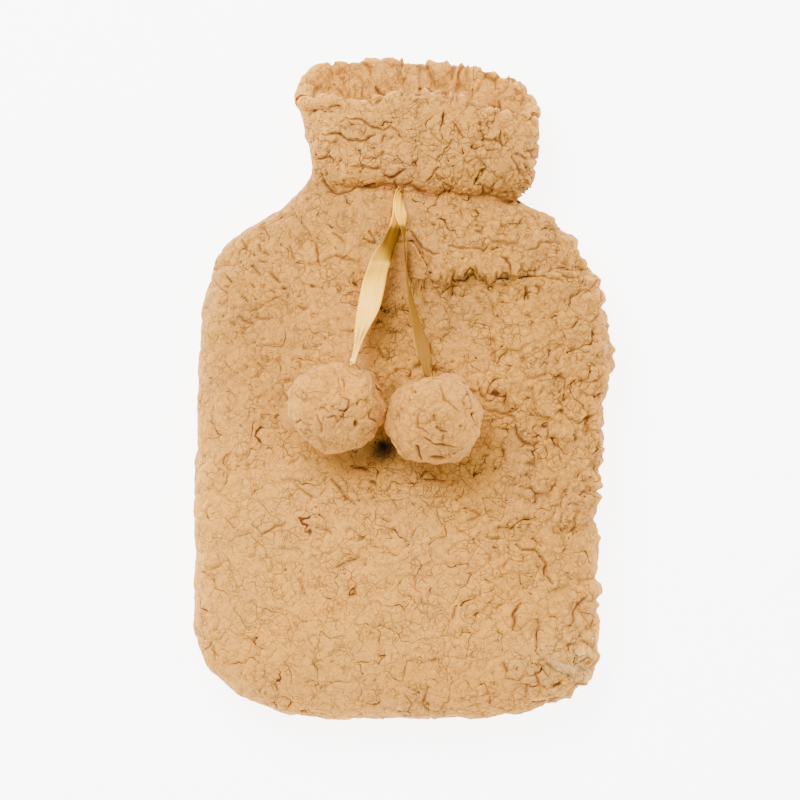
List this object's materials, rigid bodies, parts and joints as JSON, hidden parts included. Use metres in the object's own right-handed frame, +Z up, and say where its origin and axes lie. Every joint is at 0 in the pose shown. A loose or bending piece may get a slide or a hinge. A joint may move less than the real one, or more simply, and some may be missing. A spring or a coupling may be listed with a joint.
{
  "type": "hot water bottle cover",
  "caption": "Curly fleece hot water bottle cover with a drawn-in neck, open flared collar, lapped front and a satin ribbon with pompoms, lying on its back.",
  "frame": {"origin": "on the surface the cover lies on, under the middle of its back", "axes": "+Z up out of the front, +Y towards the collar, +X to the right as seen from the front"},
  "size_m": [0.2222, 0.3546, 0.1024],
  "materials": {
    "fleece": "curly long-pile fleece, matt, camel",
    "pompom_fleece": "curly fleece ball, matt, slightly greyer camel",
    "satin": "satin ribbon, soft gloss, pale gold"
  },
  "bodies": {
    "root": {"back_panel": "fleece", "front_lower": "fleece", "front_upper": "fleece", "ribbon_left": "satin", "ribbon_right": "satin", "pompom_left": "pompom_fleece", "pompom_right": "pompom_fleece"}
  },
  "joints": []
}
